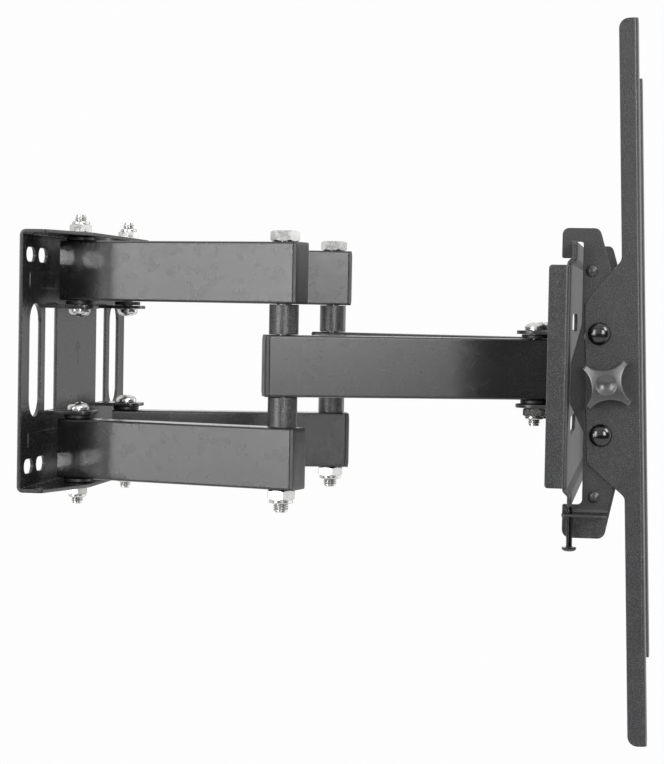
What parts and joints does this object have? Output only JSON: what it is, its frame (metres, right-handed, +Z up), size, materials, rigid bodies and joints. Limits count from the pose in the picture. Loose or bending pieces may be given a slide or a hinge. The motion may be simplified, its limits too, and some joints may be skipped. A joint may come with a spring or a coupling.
{
  "type": "full motion tv wall mount",
  "caption": "Full motion TV wall mount: slotted wall plate, folding steel arms, wide head plate and tilting screen rails held by hand knobs.",
  "frame": {"origin": "middle of the wall plate's back face, where it lies on the wall", "axes": "+Z up, +Y into the wall, so the screen side faces -Y, +X towards the right arm"},
  "size_m": [0.38, 0.408, 0.4339],
  "materials": {
    "black_powder_coat": "fine textured black powder coat on steel",
    "grey_powder_coat": "dark grey speckled powder coat on steel",
    "bright_zinc": "bright zinc plated steel",
    "black_nylon": "satin black moulded nylon",
    "gloss_black_screw": "gloss black coated steel",
    "knob_plastic": "satin dark grey moulded plastic"
  },
  "bodies": {
    "wall_plate": {"wall_plate": "black_powder_coat", "left_upper_wall_bolt": "bright_zinc", "left_upper_wall_nut": "bright_zinc", "left_upper_outer_wall_bushing": "black_nylon", "left_upper_inner_wall_bushing": "black_nylon", "left_lower_wall_bolt": "bright_zinc", "left_lower_wall_nut": "bright_zinc", "left_lower_outer_wall_bushing": "black_nylon", "left_lower_inner_wall_bushing": "black_nylon", "right_upper_wall_bolt": "bright_zinc", "right_upper_wall_nut": "bright_zinc", "right_upper_outer_wall_bushing": "black_nylon", "right_upper_inner_wall_bushing": "black_nylon", "right_lower_wall_bolt": "bright_zinc", "right_lower_wall_nut": "bright_zinc", "right_lower_outer_wall_bushing": "black_nylon", "right_lower_inner_wall_bushing": "black_nylon"},
    "head": {"head_plate": "grey_powder_coat", "left_arm_clevis": "grey_powder_coat", "left_head_bolt": "bright_zinc", "left_head_nut": "bright_zinc", "left_upper_head_bushing": "black_nylon", "left_lower_head_bushing": "black_nylon", "right_arm_clevis": "grey_powder_coat", "right_head_bolt": "bright_zinc", "right_head_nut": "bright_zinc", "right_upper_head_bushing": "black_nylon", "right_lower_head_bushing": "black_nylon"},
    "left_wall_arms": {"left_upper_wall_arm": "black_powder_coat", "left_upper_wall_arm_cap": "black_nylon", "left_upper_elbow_spacer": "black_powder_coat", "left_lower_wall_arm": "black_powder_coat", "left_lower_wall_arm_cap": "black_nylon", "left_lower_elbow_spacer": "black_powder_coat", "left_elbow_bolt": "bright_zinc", "left_elbow_nut": "bright_zinc"},
    "left_front_arm": {"left_front_arm": "black_powder_coat", "left_front_arm_cap": "black_nylon"},
    "left_hook": {"left_hook_plate": "grey_powder_coat"},
    "left_rail": {"left_screen_rail": "grey_powder_coat", "left_upper_guide_screw": "gloss_black_screw", "left_lower_guide_screw": "gloss_black_screw"},
    "left_knob": {"left_tilt_knob": "knob_plastic"},
    "left_lock": {"left_lock_screw": "bright_zinc"},
    "right_wall_arms": {"right_upper_wall_arm": "black_powder_coat", "right_upper_wall_arm_cap": "black_nylon", "right_upper_elbow_spacer": "black_powder_coat", "right_lower_wall_arm": "black_powder_coat", "right_lower_wall_arm_cap": "black_nylon", "right_lower_elbow_spacer": "black_powder_coat", "right_elbow_bolt": "bright_zinc", "right_elbow_nut": "bright_zinc"},
    "right_front_arm": {"right_front_arm": "black_powder_coat", "right_front_arm_cap": "black_nylon"},
    "right_hook": {"right_hook_plate": "grey_powder_coat"},
    "right_rail": {"right_screen_rail": "grey_powder_coat", "right_upper_guide_screw": "gloss_black_screw", "right_lower_guide_screw": "gloss_black_screw"},
    "right_knob": {"right_tilt_knob": "knob_plastic"},
    "right_lock": {"right_lock_screw": "bright_zinc"}
  },
  "joints": [
    {"name": "left_wall_pivot", "type": "hinge", "parent": "wall_plate", "child": "left_wall_arms", "pos_m": [-0.062, -0.022, 0], "axis": [0, 0, -1], "range_deg": [-12, 70]},
    {"name": "left_elbow", "type": "hinge", "parent": "left_wall_arms", "child": "left_front_arm", "pos_m": [-0.09877, -0.16948, 0], "axis": [0, 0, 1], "range_deg": [-23.5, 135.6]},
    {"name": "left_head_pivot", "type": "hinge", "parent": "left_front_arm", "child": "head", "pos_m": [-0.046, -0.32898, 0], "axis": [0, 0, -1], "range_deg": [-11.5, 65.6]},
    {"name": "right_wall_pivot", "type": "hinge", "parent": "wall_plate", "child": "right_wall_arms", "pos_m": [0.062, -0.022, 0], "axis": [0, 0, 1], "range_deg": [-12.3, 70.3]},
    {"name": "right_elbow", "type": "hinge", "parent": "right_wall_arms", "child": "right_front_arm", "pos_m": [0.09877, -0.16948, 0], "axis": [0, 0, -1], "range_deg": [-23.5, 135.6]},
    {"name": "left_hook_slide", "type": "slide", "parent": "head", "child": "left_hook", "axis": [-1, 0, 0], "range_m": [-0.057, 0.016]},
    {"name": "left_tilt", "type": "hinge", "parent": "left_hook", "child": "left_rail", "pos_m": [-0.1715, -0.37948, -0.0045], "axis": [1, 0, 0], "range_deg": [-10, 7]},
    {"name": "left_knob_turn", "type": "hinge", "parent": "left_rail", "child": "left_knob", "pos_m": [-0.1715, -0.37948, -0.0045], "axis": [-1, 0, 0], "continuous": true},
    {"name": "left_lock_screw_slide", "type": "slide", "parent": "left_hook", "child": "left_lock", "axis": [0, 0, -1], "range_m": [0, 0.008]},
    {"name": "right_hook_slide", "type": "slide", "parent": "head", "child": "right_hook", "axis": [1, 0, 0], "range_m": [-0.057, 0.016]},
    {"name": "right_tilt", "type": "hinge", "parent": "right_hook", "child": "right_rail", "pos_m": [0.1715, -0.37948, -0.0045], "axis": [1, 0, 0], "range_deg": [-10.2, 7.2]},
    {"name": "right_knob_turn", "type": "hinge", "parent": "right_rail", "child": "right_knob", "pos_m": [0.1715, -0.37948, -0.0045], "axis": [1, 0, 0], "continuous": true},
    {"name": "right_lock_screw_slide", "type": "slide", "parent": "right_hook", "child": "right_lock", "axis": [0, 0, -1], "range_m": [0, 0.008]}
  ],
  "couplings": [
    {"joint": "right_wall_pivot", "follows": "left_wall_pivot", "ratio": 1},
    {"joint": "left_elbow", "follows": "left_wall_pivot", "ratio": 1.932},
    {"joint": "right_elbow", "follows": "left_wall_pivot", "ratio": 1.932},
    {"joint": "left_head_pivot", "follows": "left_wall_pivot", "ratio": 0.932},
    {"joint": "right_tilt", "follows": "left_tilt", "ratio": 1}
  ]
}
